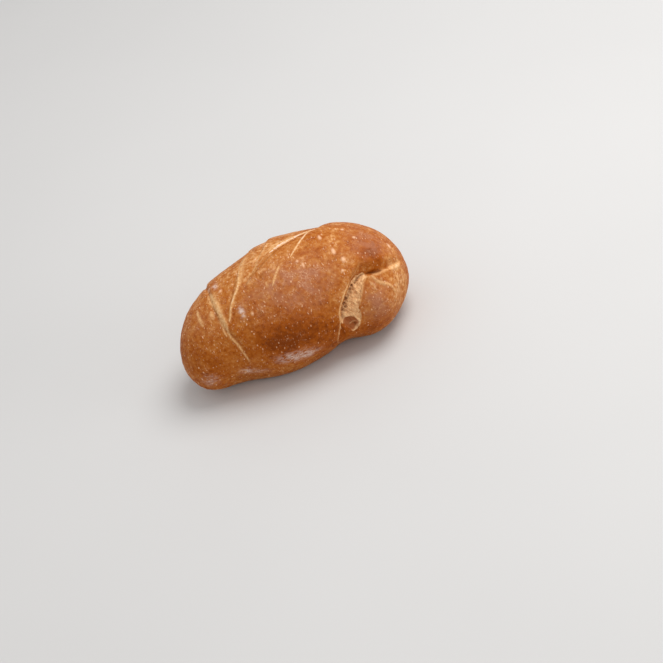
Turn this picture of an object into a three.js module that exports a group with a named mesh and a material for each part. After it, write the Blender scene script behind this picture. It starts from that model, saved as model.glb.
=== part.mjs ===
// A plump, unsliced hot dog bun: one closed solid with a flat base.
//
// The dough was rolled up from a strip. The layers wind round the roll, and each
// layer's edge lies on the one before it as a low step. At the +X end the outer
// layer stops in a thick lip, under which the inner end of the dough swells out
// as a knob. Beside the knob the crust has torn, down to the crumb.
//
// Millimetres, +Z up. +X is along the roll, -Y is its front, and the origin is
// the middle of the flat base.
//
// A place on the crust is given by x along the roll and by an angle round it:
// 0 at the front, 90 on top, 180 at the back and -90 underneath.

import * as THREE from 'three';
import { mergeVertices } from 'three/addons/utils/BufferGeometryUtils.js';

// ---- driving dimensions -----------------------------------------------------

const LENGTH = 138;

// Half width, crown height, centre line and widest height of the cross section,
// at even steps from the -X end to the +X end. The ends' rounding closes them.
const HALF_WIDTHS = [38.8, 33.3, 36.2, 33.8, 39.6];
const CROWN_HEIGHTS = [63.5, 62, 65.8, 64.6, 65.9];
const CENTRE_LINE = [-3, 0.3, 0.9, 0.3, -1];
const WIDEST_HEIGHTS = [21, 26, 29, 26, 21];

const LEFT_END_ROUNDING = 2.4; // 2 is an ellipse, more is blunter
const RIGHT_END_ROUNDING = 2.8;
const TOP_ROUNDING = 2.1;
const FLANK_ROUNDING = 2.3;
const END_SLANT = 0.16; // the ends lean along the roll, per mm of depth

const BASE_DEPTH = 7; // how far the full round would reach below the table
const BASE_CORNER = 4; // height over which the flank turns into the flat base
const RELIEF_FADE = 5; // relief has its full height above this

// Broad swells, and hollows where the sum is negative, that push the flank out
// level with the table: x, angle, spread and distance.
const SWELLS = {
  leftHeel: { x: -52, angle: -45, spread: 13, out: 3.6 },
  frontWaist: { x: -40, angle: -35, spread: 14, out: -4 },
  flankHollow: { x: 12, angle: -40, spread: 13, out: -3.4 },
  lipHollow: { x: 26, angle: -45, spread: 10, out: -6.4 },
  knob: { x: 51, angle: 6, spread: 13, out: 4 },
  knobHeel: { x: 46, angle: -38, spread: 10, out: 1.2 },
  endHollow: { x: 64, angle: -15, spread: 12, out: -1.8 },
};

// The edges of the layers. Each knot is [x, angle, rise, gutter]: the layer on
// the edge's right-hand side stands up by rise, and a gutter runs at its foot.
const LAYER_EDGES = {
  firstLayer: {
    knots: [
      [-50, 205, 0.6, 0.2], [-46, 142, 1, 0.5], [-42, 101, 0.9, 0.6], [-39, 62, 1.2, 0.7],
      [-36, 40, 1.2, 0.5], [-32, 25, 0.8, 0.4], [-29.5, 8, 0.4, 0.2], [-28.5, -5, 0, 0],
    ],
    shoulder: 2.6,
    gutterWidth: 1.3,
    reach: 24,
  },
  secondLayer: {
    knots: [
      [-10, 165, 0, 0], [-14.5, 125, 0.7, 0.3], [-21, 92, 0.8, 0.4], [-26.5, 70, 0.8, 0.4],
      [-31, 54, 0.5, 0.3], [-33, 47, 0, 0],
    ],
    shoulder: 1.8,
    gutterWidth: 1,
    reach: 12,
  },
  stretchedLayer: {
    knots: [[0, 150, 0, 0], [-4, 115, 1.2, 0.5], [-8, 94, 1, 0.5], [-12, 82, 0.5, 0.3], [-15, 77, 0, 0]],
    shoulder: 2.5,
    gutterWidth: 1.2,
    reach: 9,
  },
  outerLayer: {
    knots: [
      [40, 178, 0, 0], [31, 122, 1.8, 0.6], [24, 105, 2, 0.7], [14.5, 100, 1.8, 0.7],
      [5.5, 94, 1.6, 0.8], [-2.5, 89, 1.4, 0.8], [-9, 83, 1.2, 0.7], [-16, 73, 0.7, 0.4], [-22, 58, 0, 0],
    ],
    shoulder: 3,
    gutterWidth: 1.3,
    reach: 18,
  },
  tailSeam: {
    knots: [[-48, 200, 0, 0], [-20, 207, 0.9, 0.5], [12, 205, 1, 0.5], [44, 198, 0, 0]],
    shoulder: 2.5,
    gutterWidth: 1.4,
    reach: 12,
  },
};

// The free edge of the outer layer, up the torn side and along the lip over the
// knob: [x, angle, rise, gutter, shoulder, gutterWidth, fold]. In the tear the
// gutter is wide and starts at a torn wall; under the lip it is a narrow crease,
// into which the layer curls down over the distance fold.
const LIP = {
  knots: [
    [12, -75, 0, 0, 3, 3, 0], [20.4, -26, 0.7, 0.5, 2.4, 3, 0], [23.4, -9.6, 1.2, 2.2, 2.2, 9, 0],
    [25.9, 3, 1.4, 3.8, 2, 11, 0], [28.7, 16, 1.4, 4.6, 2, 10, 0], [33.6, 26.8, 1.4, 4.6, 2.2, 8.4, 0.2],
    [39.2, 37.6, 1.6, 4.2, 4, 6, 1.4], [45, 42.4, 2.2, 4, 6, 3.2, 3.4], [51.5, 42, 2.5, 3.8, 7, 2.6, 4],
    [58, 45, 1.9, 2.4, 6, 2.6, 3], [64, 52, 0.8, 0.8, 4, 2.6, 2], [67.3, 68, 0, 0, 4, 2.6, 1.5],
  ],
  reach: 16,
  wall: 0.8, // the torn wall falls away over this distance
  folded: [0.4, 1.4], // the edge is torn below the first fold and curled beyond the second
};

// Facets along and round the roll. They crowd towards the detailed front and top.
const STATIONS = 84;
const FACETS_ROUND = 60;
const CROWDING = 0.45;
const CROWDED_ANGLE = 50;
const EDGE_SAMPLES = 120;

const CRUST_COLOUR = 0xb5713c;
const CRUST_ROUGHNESS = 0.55;

// ---- the smooth roll --------------------------------------------------------

// Value of a smooth curve through evenly spaced stations, for t from -1 to 1.
function alongRoll(stations, t) {
  const last = stations.length - 1;
  const place = (THREE.MathUtils.clamp(t, -1, 1) + 1) * 0.5 * last;
  const i = Math.min(Math.floor(place), last - 1);
  const f = place - i;
  const before = i > 0 ? stations[i - 1] : 2 * stations[0] - stations[1];
  const after = i < last - 1 ? stations[i + 2] : 2 * stations[last] - stations[last - 1];
  const here = stations[i];
  const next = stations[i + 1];
  const bend = 2 * before - 5 * here + 4 * next - after + f * (3 * (here - next) + after - before);
  return here + 0.5 * f * (next - before + f * bend);
}

// Turns a height that passes below the table into a soft corner and a flat base.
function settle(z) {
  const h = THREE.MathUtils.clamp(0.5 + (0.5 * z) / BASE_CORNER, 0, 1);
  return z * h + BASE_CORNER * h * (1 - h);
}

// The point of the even roll at t from -1 to 1 and an angle in radians.
function evenRollPoint(t, angle) {
  const rounding = t < 0 ? LEFT_END_ROUNDING : RIGHT_END_ROUNDING;
  const girth = Math.sqrt(Math.max(0, 1 - Math.abs(t) ** rounding));
  const c = Math.cos(angle);
  const s = Math.sin(angle);
  const power = s > 0 ? TOP_ROUNDING : FLANK_ROUNDING;
  const radius = girth * (Math.abs(c) ** power + Math.abs(s) ** power) ** (-1 / power);
  const middle = alongRoll(WIDEST_HEIGHTS, t);
  const reach = s > 0 ? alongRoll(CROWN_HEIGHTS, t) - middle : middle + BASE_DEPTH;
  const y = alongRoll(CENTRE_LINE, t) - alongRoll(HALF_WIDTHS, t) * radius * c;
  const z = settle(middle + reach * radius * s);
  return new THREE.Vector3((t * LENGTH) / 2 + END_SLANT * y, y, z);
}

// The outward direction of a surface, from small steps along and round it.
function outward(surface, t, angle) {
  const step = 1e-3;
  const a = THREE.MathUtils.clamp(t, -1 + 2 * step, 1 - 2 * step);
  const along = surface(a + step, angle).sub(surface(a - step, angle));
  const round = surface(a, angle + step).sub(surface(a, angle - step));
  return along.cross(round).normalize();
}

for (const swell of Object.values(SWELLS)) {
  const place = [(2 * swell.x) / LENGTH, THREE.MathUtils.degToRad(swell.angle)];
  swell.centre = evenRollPoint(...place);
  swell.direction = outward(evenRollPoint, ...place).setZ(0).normalize();
}

// The smooth roll: the even one with its swells.
function rollPoint(t, angle) {
  const even = evenRollPoint(t, angle);
  const point = even.clone();
  for (const { centre, direction, spread, out } of Object.values(SWELLS)) {
    point.addScaledVector(direction, out * Math.exp(-centre.distanceToSquared(even) / spread ** 2));
  }
  return point;
}

const placeOnRoll = (x, degrees) => rollPoint((2 * x) / LENGTH, THREE.MathUtils.degToRad(degrees));

// ---- relief -----------------------------------------------------------------

// Points along a layer's edge, each with its direction and its knots' values.
function traceEdge(knots) {
  const curve = new THREE.CatmullRomCurve3(
    knots.map(([x, degrees]) => placeOnRoll(x, degrees)), false, 'catmullrom', 0.5,
  );
  const trace = [];
  for (let i = 0; i <= EDGE_SAMPLES; i++) {
    const u = i / EDGE_SAMPLES;
    const place = u * (knots.length - 1);
    const k = Math.min(Math.floor(place), knots.length - 2);
    const values = knots[k].map((v, n) => THREE.MathUtils.lerp(v, knots[k + 1][n], place - k));
    trace.push({ point: curve.getPoint(u), tangent: curve.getTangent(u), values });
  }
  return trace;
}

// Distance from an edge, positive on the raised side, and the values beside it.
function besideEdge(trace, point, normal) {
  let nearest = trace[0];
  let best = Infinity;
  for (const sample of trace) {
    const d = sample.point.distanceToSquared(point);
    if (d < best) {
      best = d;
      nearest = sample;
    }
  }
  const away = point.clone().sub(nearest.point);
  const raisedSide = normal.clone().cross(nearest.tangent);
  const distance = Math.sqrt(best) * (away.dot(raisedSide) < 0 ? -1 : 1);
  return { distance, values: nearest.values };
}

// Height of a layer at a distance from its edge: a quarter-round shoulder that
// sinks back into the roll over its reach.
function shoulderHeight(distance, rise, shoulder, reach) {
  if (distance <= 0) return 0;
  const up = Math.min(1, distance / shoulder);
  return rise * Math.sqrt(1 - (1 - up) ** 2) * Math.exp(-((distance / reach) ** 2));
}

function layerRelief(edge, point, normal) {
  const { distance, values } = besideEdge(edge.trace, point, normal);
  const [, , rise, gutter] = values;
  const step = shoulderHeight(distance, rise, edge.shoulder, edge.reach);
  return step - gutter * Math.exp(-((distance / edge.gutterWidth) ** 2));
}

function lipRelief(point, normal) {
  const { distance, values } = besideEdge(LIP.trace, point, normal);
  const [, , rise, gutter, shoulder, gutterWidth, fold] = values;
  const [torn, curled] = LIP.folded;
  const folded = THREE.MathUtils.smoothstep(fold, torn, curled);
  const floor = 1 - Math.min(1, -distance / gutterWidth) ** 2;
  const wall = THREE.MathUtils.smoothstep(-distance, 0, LIP.wall);
  const curl = folded * Math.exp(-((distance / Math.max(fold, torn)) ** 2));
  const depth = distance < 0 ? floor * THREE.MathUtils.lerp(wall, 1, folded) : curl;
  return shoulderHeight(distance, rise, shoulder, LIP.reach) - gutter * depth;
}

for (const edge of [...Object.values(LAYER_EDGES), LIP]) edge.trace = traceEdge(edge.knots);

// The crust: the smooth roll raised and lowered along its normal. The relief
// fades out towards the base, whose facets stay exactly flat.
function crustPoint(t, angle) {
  const point = rollPoint(t, angle);
  if (point.z <= 0) return point;
  const normal = outward(rollPoint, t, angle);
  let height = lipRelief(point, normal);
  for (const edge of Object.values(LAYER_EDGES)) height += layerRelief(edge, point, normal);
  normal.z *= THREE.MathUtils.smoothstep(point.z, 0, RELIEF_FADE);
  point.addScaledVector(normal, height);
  point.z = Math.max(0, point.z);
  return point;
}

// ---- facets -----------------------------------------------------------------

// Values of t for facets of even length along the crown and the front.
function spaceStations() {
  const fine = 1200;
  const ts = [];
  const lengths = [0];
  for (let i = 0; i <= fine; i++) ts.push(-Math.cos((Math.PI * i) / fine));
  for (let i = 1; i <= fine; i++) {
    const crown = rollPoint(ts[i], Math.PI / 2).distanceTo(rollPoint(ts[i - 1], Math.PI / 2));
    const front = rollPoint(ts[i], 0).distanceTo(rollPoint(ts[i - 1], 0));
    lengths.push(lengths[i - 1] + (crown + front) / 2);
  }
  const stations = [-1];
  for (let k = 1, i = 1; k < STATIONS; k++) {
    const target = (lengths[fine] * k) / STATIONS;
    while (lengths[i] < target) i++;
    const f = (target - lengths[i - 1]) / (lengths[i] - lengths[i - 1]);
    stations.push(THREE.MathUtils.lerp(ts[i - 1], ts[i], f));
  }
  stations.push(1);
  return stations;
}

// Angle round the roll for an even share u of a turn, crowded to the front top.
function crowdedAngle(u) {
  const turn = 2 * Math.PI * u;
  return THREE.MathUtils.degToRad(CROWDED_ANGLE) + turn - CROWDING * Math.sin(turn);
}

// A sphere's net of facets, with each corner moved to its place on the crust.
function makeBun() {
  const geometry = new THREE.SphereGeometry(1, FACETS_ROUND, STATIONS);
  const { position, uv } = geometry.attributes;
  const stations = spaceStations();
  for (let i = 0; i < position.count; i++) {
    const row = Math.round((1 - uv.getY(i)) * STATIONS);
    const pole = row === 0 || row === STATIONS;
    const share = pole ? 0 : Math.round(uv.getX(i) * FACETS_ROUND) % FACETS_ROUND;
    const corner = crustPoint(stations[row], crowdedAngle(share / FACETS_ROUND));
    position.setXYZ(i, corner.x, corner.y, corner.z);
  }
  geometry.deleteAttribute('normal');
  geometry.deleteAttribute('uv');
  const solid = mergeVertices(geometry, 1e-4);
  solid.computeBoundingBox();
  const { min, max } = solid.boundingBox;
  solid.translate(-(min.x + max.x) / 2, -(min.y + max.y) / 2, 0);
  solid.computeVertexNormals();
  const crust = new THREE.MeshStandardMaterial({
    color: CRUST_COLOUR,
    roughness: CRUST_ROUGHNESS,
    metalness: 0,
  });
  const bun = new THREE.Mesh(solid, crust);
  bun.name = 'bun';
  return bun;
}

const group = new THREE.Group();
group.add(makeBun());

export default group;
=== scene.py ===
"""Looks of a hot dog bun: a plump unsliced roll with rolled-up layers, a lip, a knob and a tear.

Blender's metres, in the frame's own axes: +X along the roll, -Y its front, +Z up. The form
is worked out in millimetres, from x along the roll and an angle round it: 0 at the front,
90 on top, 180 at the back and -90 underneath.
"""

import math

import bpy
import numpy as np
from bpy.props import FloatProperty, FloatVectorProperty, IntProperty, PointerProperty
from mathutils import Matrix, Vector


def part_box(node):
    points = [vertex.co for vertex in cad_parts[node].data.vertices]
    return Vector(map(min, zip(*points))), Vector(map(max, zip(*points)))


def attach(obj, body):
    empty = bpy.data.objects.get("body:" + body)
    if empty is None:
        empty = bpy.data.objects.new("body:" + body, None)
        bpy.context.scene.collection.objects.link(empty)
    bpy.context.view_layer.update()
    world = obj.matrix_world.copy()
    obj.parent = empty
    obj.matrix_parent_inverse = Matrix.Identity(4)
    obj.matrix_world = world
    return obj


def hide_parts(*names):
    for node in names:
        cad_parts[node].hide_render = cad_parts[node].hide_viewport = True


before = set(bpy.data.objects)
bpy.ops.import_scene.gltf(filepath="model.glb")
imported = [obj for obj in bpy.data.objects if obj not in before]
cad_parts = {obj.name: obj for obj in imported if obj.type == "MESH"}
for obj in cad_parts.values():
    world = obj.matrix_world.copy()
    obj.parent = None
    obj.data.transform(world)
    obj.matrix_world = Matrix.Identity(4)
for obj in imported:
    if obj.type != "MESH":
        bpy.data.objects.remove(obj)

bl_info = {
    "name": "Hot Dog Bun",
    "version": (1, 0, 0),
    "blender": (4, 5, 0),
    "location": "View3D > Sidebar > Bun",
    "description": "Builds a rolled hot dog bun with its crust, blisters, torn crumb, flour and stage",
    "category": "Add Mesh",
}

MM = 0.001
BODY = "root"
NODE = "bun"
CRUST_NAME = "bun_crust"

# ---- form: the roll's driving dimensions, millimetres and degrees ------------

LENGTH = 138.0
HALF_WIDTHS = [38.8, 33.3, 36.2, 33.8, 39.6]  # at even steps from the -X end to the +X end
CROWN_HEIGHTS = [63.5, 62.0, 65.8, 64.6, 65.9]
CENTRE_LINE = [-3.0, 0.3, 0.9, 0.3, -1.0]
WIDEST_HEIGHTS = [21.0, 26.0, 29.0, 26.0, 21.0]
LEFT_END_ROUNDING = 2.4
RIGHT_END_ROUNDING = 2.8
TOP_ROUNDING = 2.1
FLANK_ROUNDING = 2.3
END_SLANT = 0.16
BASE_DEPTH = 7.0
BASE_CORNER = 4.0
RELIEF_FADE = 5.0

# Swells and hollows that push the flank level with the table: x, angle, spread, distance.
SWELLS = {
    "left heel": (-52, -45, 13, 3.6),
    "front waist": (-40, -35, 14, -4.0),
    "flank hollow": (12, -40, 13, -3.4),
    "lip hollow": (26, -45, 10, -6.4),
    "knob": (51, 6, 13, 4.0),
    "knob heel": (46, -38, 10, 1.2),
    "end hollow": (64, -15, 12, -1.8),
}

# Layer edges: knots of x, angle, rise and gutter, then shoulder, gutter width and reach.
LAYER_EDGES = {
    "first layer": (
        [(-50, 205, 0.6, 0.2), (-46, 142, 1.0, 0.5), (-42, 101, 0.9, 0.6), (-39, 62, 1.2, 0.7),
         (-36, 40, 1.2, 0.5), (-32, 25, 0.8, 0.4), (-29.5, 8, 0.4, 0.2), (-28.5, -5, 0, 0)],
        2.6, 1.3, 24),
    "second layer": (
        [(-10, 165, 0, 0), (-14.5, 125, 0.7, 0.3), (-21, 92, 0.8, 0.4), (-26.5, 70, 0.8, 0.4),
         (-31, 54, 0.5, 0.3), (-33, 47, 0, 0)],
        1.8, 1.0, 12),
    "stretched layer": (
        [(0, 150, 0, 0), (-4, 115, 1.2, 0.5), (-8, 94, 1.0, 0.5), (-12, 82, 0.5, 0.3), (-15, 77, 0, 0)],
        2.5, 1.2, 9),
    "outer layer": (
        [(40, 178, 0, 0), (31, 122, 1.8, 0.6), (24, 105, 2.0, 0.7), (14.5, 100, 1.8, 0.7),
         (5.5, 94, 1.6, 0.8), (-2.5, 89, 1.4, 0.8), (-9, 83, 1.2, 0.7), (-16, 73, 0.7, 0.4),
         (-22, 58, 0, 0)],
        3.0, 1.3, 18),
    "tail seam": (
        [(-48, 200, 0, 0), (-20, 207, 0.9, 0.5), (12, 205, 1.0, 0.5), (44, 198, 0, 0)],
        2.5, 1.4, 12),
}

# The outer layer's free edge, up the tear and over the knob: knots of x, angle, rise,
# gutter, shoulder, gutter width and fold, how broadly the layer curls down into the gutter.
LIP_KNOTS = [
    (12, -75, 0, 0, 3, 3, 0), (20.4, -26, 0.7, 0.5, 2.4, 3, 0), (23.4, -9.6, 1.2, 2.2, 2.2, 9, 0),
    (25.9, 3, 1.4, 3.8, 2, 11, 0), (28.7, 16, 1.4, 4.6, 2, 10, 0), (33.6, 26.8, 1.4, 4.6, 2.2, 8.4, 0.2),
    (39.2, 37.6, 1.6, 4.2, 4, 6, 1.4), (45, 42.4, 2.2, 4, 6, 3.2, 3.4), (51.5, 42, 2.5, 3.8, 7, 2.6, 4),
    (58, 45, 1.9, 2.4, 6, 2.6, 3), (64, 52, 0.8, 0.8, 4, 2.6, 2), (67.3, 68, 0, 0, 4, 2.6, 1.5),
]
LIP_REACH = 16
LIP_WALL = 0.8  # the torn wall under the edge falls away over this distance
FOLDED = (0.4, 1.4)  # the edge is torn below the first fold and curled beyond the second
LIP_RAGGEDNESS = 0.22

# The torn crumb's outline, knots of x and angle, round from the top of the lip.
TEAR_OUTLINE = [
    (48, 41.4), (43, 31), (39.5, 19), (37.2, 9), (36.3, -2), (32.5, -14.3), (29, -13),
    (26.6, -4), (27, 8), (31, 21.5), (36.6, 32.4), (43, 41),
]
TORN_CRUST = 0.4  # thickness of the crust at the tear
POCKET = (30.9, -6.3, 3.6, 1.7)  # x, angle, radius and depth of the hollow at the tear's foot
POCKET_RIM = (4.4, 0.7, 0.5)  # radius, width and height of the strand round it
POCKET_RIM_FACING = (35.0, -10.0)  # x and angle of the side where the strand is whole
# Gas holes along the foot of the torn wall: x, angle, radius and depth.
PITS = [
    (38.6, 32.0, 0.6, 0.4), (36.6, 28.3, 0.8, 0.5), (36.9, 24.8, 0.5, 0.3), (32.8, 20.0, 1.4, 0.7),
    (31.2, 15.6, 0.8, 0.8), (31.5, 11.8, 1.0, 0.6), (29.2, 9.2, 0.6, 0.5), (32.9, -9.0, 0.7, 0.9),
]
FIBRE_COURSE = ((30.0, 16.0), (36.0, 3.0))  # a fibre runs from one x and angle to the other
EDGE_SAMPLES = 400
SEARCH_BLOCK = 8192

STATIONS = 320
FACETS_ROUND = 290
FINE_PLACE = (33.0, 10.0)  # the net is finest round this x and angle
FINE_SPREAD = (14.0, 28.0)
FINE_GAIN = (1.0, 1.4)
HIDDEN_GAIN = 0.42  # and coarser underneath and behind

# ---- marks: where the crust is darker, paler, floury or blistered, and painted shade and sheen ---

# x, angle, spread along, spread round, amount
BAKE_LEVEL = 0.44
# Darker and paler crust, and painted shade where the lip curls down over the knob.
BAKE_AND_SHADE_PATCHES = [
    (-4, 7, 23, 15, 0.56),  # the low front flank, darkest
    (20, -16, 14, 12, 0.30),
    (-50, 6, 15, 13, 0.26),  # the left end's low side
    # painted shade under the lip's curl
    (52, 60, 9, 6, 0.44),  # the lip over the knob
    (52, 80, 10, 9, 0.26),
    (42, -20, 12, 9, 0.32),  # under the knob
    (-14, 84, 22, 14, -0.16),  # between the layers, stretched and paler
    (2, 112, 30, 14, -0.18),
    (31, 74, 9, 8, -0.14),
    (24, 88, 8, 8, 0.22),
    (-40, 72, 5, 6, -0.3),
    # painted shade where the lip turns into the crease
    (54, 46, 7, 3.4, 0.14),
    (17, 40, 10, 9, 0.12),
    (60, 10, 7, 14, -0.2),  # the right end beside the crease
    (65, 32, 6, 16, -0.26),
    (0, 172, 40, 20, 0.2),  # the back and the ends, out of the photograph's sight
    (-66, 160, 10, 20, 0.14),
    (68, 140, 8, 24, 0.14),
]
# Painted sheen, the soft reflection of the light painted into the colour: x, angle, spread along, spread
# round, amount
PAINTED_SHEEN_PATCHES = [
    (0, 52, 22, 13, 0.95),
    (17, 46, 13, 13, 0.7),
    (52, 73, 14, 12, 0.8),
    (54, 47, 8, 4.5, -0.6),
    (47, 12, 9, 11, 1.0),
    (-50, 62, 12, 12, 0.3),
    (0, 140, 26, 13, 0.7),
    (-46, 140, 12, 13, 0.5),
    (48, 130, 14, 12, 0.5),
]
FLOUR_PATCHES = [
    (-36.6, 92, 1.5, 2.6, 1.3),
    (-40.6, 96, 1.2, 1.4, 0.7),
    (-24.1, 46, 1.3, 3.2, 1.2),
    (-6, -14, 8, 3.0, 1.1),
    (3, -19, 6, 2.8, 0.8),
    (-33, -16, 3.6, 2.6, 0.7),
    (-27, -22, 7, 2.0, 0.5),
    (-54, -12, 4.5, 3.6, 0.6),
]
FLOUR_EDGE = (5.0, 0.45)  # flour clings to the crust below this height, this thickly

# Pale lines where the dough stretched: knots of x and angle, half width, strength and height.
STRETCH_MARKS = [
    # the first layer's seam: two strands and the soft dough between them
    ([(-42.3, 92), (-41.3, 78), (-39.6, 68), (-37.8, 59), (-37.3, 49), (-37.1, 39), (-36.5, 32)],
     0.62, 0.95, 0.4),
    ([(-38.6, 77), (-36.7, 66.7), (-35.5, 58), (-35, 50), (-34.2, 43), (-35, 36), (-34.3, 28.7),
      (-32, 19.3), (-30.8, 10.6), (-29.9, 3.8), (-29.2, -5)], 0.6, 1.0, 0.35),
    ([(-40.6, 88), (-38.4, 73), (-36.9, 62), (-36.1, 50), (-35.4, 38)], 1.9, 0.95, 0.0),
    ([(-50.2, 82.7), (-49.6, 72.6), (-48.6, 60.8), (-47.9, 56)], 1.0, 0.85, 0.1),
    ([(-41.8, 65), (-41.6, 60.4), (-41, 55.5)], 1.3, 0.85, 0.1),
    # the second layer's seam, and the soft one behind it
    ([(-17, 112), (-19.8, 98), (-21.1, 80.3), (-22.6, 70.4), (-25, 64.5), (-27.7, 58.9), (-29.6, 53),
      (-31, 47.5), (-32.5, 43.5)], 0.75, 1.1, 0.3),
    ([(-16, 104), (-18.6, 92), (-20, 80), (-22.4, 70)], 1.5, 0.6, 0.0),
    ([(-2, 106), (-5, 96.4), (-9.1, 88), (-12, 79), (-16, 75), (-19.1, 72)], 0.8, 0.5, 0.15),
    # streaks over the crown, along the outer layer's edge
    ([(26, 112), (20.1, 108), (16, 104), (11.9, 101.2), (8.7, 99.3), (4.7, 96.6), (1.1, 93), (-2, 90)],
     1.1, 1.35, 0.25),
    ([(18, 104), (12, 99), (6, 96), (0, 90.5), (-5, 85.5), (-9, 82)], 0.6, 0.95, 0.1),
    ([(10, 103.5), (5, 100), (0, 95), (-5, 89.5)], 0.5, 0.9, 0.1),
    ([(12, 105), (6, 101.5), (1, 98.5), (-4, 94)], 0.5, 0.8, 0.1),
    ([(24.5, 105), (21, 99), (18.4, 93), (15.6, 87), (12.3, 80), (9.4, 74.5)], 0.5, 1.3, 0.15),
    ([(2.2, 69.6), (-0.9, 62.6), (-3.7, 55.4)], 0.65, 0.85, 0.1),
    ([(-6.9, 61), (-6.5, 55.6)], 0.45, 0.55, 0.05),
    # the lip's edge, and the tear's far side
    ([(42.5, 46), (40.1, 40.8), (36.6, 35.4), (33.6, 30.4), (31.2, 25.6), (29.2, 20.8), (27.3, 15.8),
      (26.1, 11), (25.6, 6), (24.9, 1.5), (23.5, -4), (22.1, -10), (20.6, -20), (20.2, -30)],
     0.5, 0.95, 0.15),
    ([(47.4, 39), (44.5, 34), (42.6, 29), (40.9, 23.5), (39.2, 18), (38.1, 13)], 0.8, 0.6, 0.0),
    ([(37.2, 6), (36.4, 0.3), (34.9, -7.1), (33, -11.4), (30.6, -15)], 0.5, 1.0, 0.2),
    ([(30.2, -9), (31.4, -7.4), (33, -5.8), (34.6, -5.4)], 0.35, 0.7, 0.35),
    # ridges that fan out from the crease over the knob
    ([(49, 37), (50.1, 33.4), (51.4, 30.6), (53.6, 27.4), (55.9, 24.6), (57.5, 20), (58.6, 13)],
     1.0, 0.7, 0.45),
    ([(46.9, 32.2), (47.7, 30), (48.7, 25)], 0.5, 0.6, 0.15),
    ([(50.1, 38), (52.7, 38.6), (56, 40), (59.1, 41.6)], 1.0, 0.8, 0.2),
    ([(60.2, 42), (63, 44.4), (65.8, 51)], 1.7, 1.0, 0.3),
]
MARK_SAMPLES = 80

# Narrow creases with painted shade in them: knots of x and angle, half width, strength of the shade and
# height.
CREASE_SHADE_LINES = [
    ([(47, 41.2), (45, 40), (43, 37.9), (41.3, 35.8), (40, 33)], 0.5, 0.9, -0.2),
    ([(-39.2, 96), (-39.3, 86), (-38.3, 77.6), (-37, 71.4), (-35.2, 67)], 0.4, 0.3, -0.2),
    ([(22, 99), (14, 94.5), (7.5, 90.5), (2.8, 86.5), (-3.3, 80.8), (-8.8, 76), (-14, 72),
      (-19.8, 66)], 0.4, 0.6, -0.2),
    ([(48, 40.6), (51, 40.7), (53.6, 41), (56.5, 42)], 0.9, 1.0, -0.4),
    ([(50.8, 33), (52.6, 31.2), (54.8, 29.2)], 0.9, 0.45, -0.15),
    # the torn wall under the lip, in painted shade
    ([(38.8, 32), (35.6, 25), (32.6, 18), (30.3, 12), (28.8, 6), (28.2, 0)], 1.4, 0.5, 0.0),
]

# The largest blisters: x, angle, half length round the roll, half width along it.
LARGE_BLISTERS = [
    (40.0, 95.8, 0.9, 0.8), (27.0, 87.0, 1.8, 0.8), (45.3, 81.6, 0.9, 0.8), (32.7, 67.2, 2.0, 1.0),
    (36.7, 56.9, 1.4, 1.1), (34.7, 46.9, 0.8, 0.8), (62.3, 80.7, 1.6, 1.1), (12.4, 67.8, 0.8, 0.7),
    (15.1, 62.6, 1.5, 0.6), (-33.5, 79, 1.0, 0.9), (-18.6, 40.5, 1.0, 0.6),
]
LARGE_BLISTER_HEIGHT = 0.25
BLISTER_CLEARANCE = (-0.6, -1.6)  # small ones start this far from the tear and are dense beyond
BLISTER_FADE = (0.6, 1.0)  # and at this share of the relief's full height above the base

DOME_RINGS = 6
BLISTER_LEVEL = 0.5  # where a ball is cut for a blister, and for a grain of flour
GRAIN_LEVEL = 0.2
GRAIN_SIDES = 4
BLISTER_SPIN = 0.45  # blisters and strands lie this much across their course, in radians
STRAND_SPIN = 0.5
# What the faintest blister has, and how much more the strongest.
BLISTER_PALENESS = (0.15, 0.85)
BLISTER_GROWTH = (0.6, 0.45)
BLISTER_SIZES = (0.75, 1.15)  # least and most by chance, as in the rows below
BLISTER_SLIMNESS = (0.7, 1.3)
STRAND_PALENESS = (0.1, 1.0)
STRAND_LENGTHS = (0.55, 1.25)
GRAIN_SIZES = (0.5, 1.3)
STRAND_FLATNESS = 0.6
STRAND_TAPER = (2.7, 0.22, 0.6)  # a sine's run and start, in radians, and its power
# Between which values of a field a thing goes from none to dense.
BARE_CRUMB = (0.9, 1.5)  # strands, by millimetres into the tear
OFF_POCKET = (0.3, 0.02)
FLOURED = (0.35, 1.0)
ABOVE_BASE = (0.1, 0.3)

# ---- finish: sizes, and shares from 0 to 1 ------------------------------------

SPECULAR = 0.08  # crust and flour hardly shine
TONES = (("golden", 0.25), ("brown", 0.5), ("deep", 0.78))  # between pale at 0 and dark at 1
BLOTCH = (8 * MM, 1.0)  # size and strength of the browning's broad unevenness
MOTTLE = (2.2 * MM, 1.5)
EVEN_BAKE = (0.4, 0.95)  # darker crust is more even, and twice as even at the second
PAINTED_SHEEN = (6 * MM, 0.7)  # size of the painted sheen's patches and its strength
WEB = (2.2 * MM, 0.08)  # spacing of the net of fine creases, and its creases' half width
SPECKS = (1.9 * MM, 0.2, 0.42)  # spacing, least and largest radius in cells
# How strongly specks and blisters are painted pale; the pale stands partly for painted highlights.
SPECK_STRENGTH = 0.8
BLISTER_STRENGTH = 0.95
FRECKLE = (2.4 * MM, 0.4)
STREAK_BREAKS = 1.3 * MM
DUST = (1.6 * MM, 0.75)
DUST_STRETCH = (0.45, 1.0, 1.4)  # flour is smeared along the roll
FOLD_SHADE_STRENGTH = 0.8
GRAIN_SIZE = 0.8 * MM
BUMP = (0.6, 0.3 * MM)  # strength and depth

# ---- stage ----------------------------------------------------------------------

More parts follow.
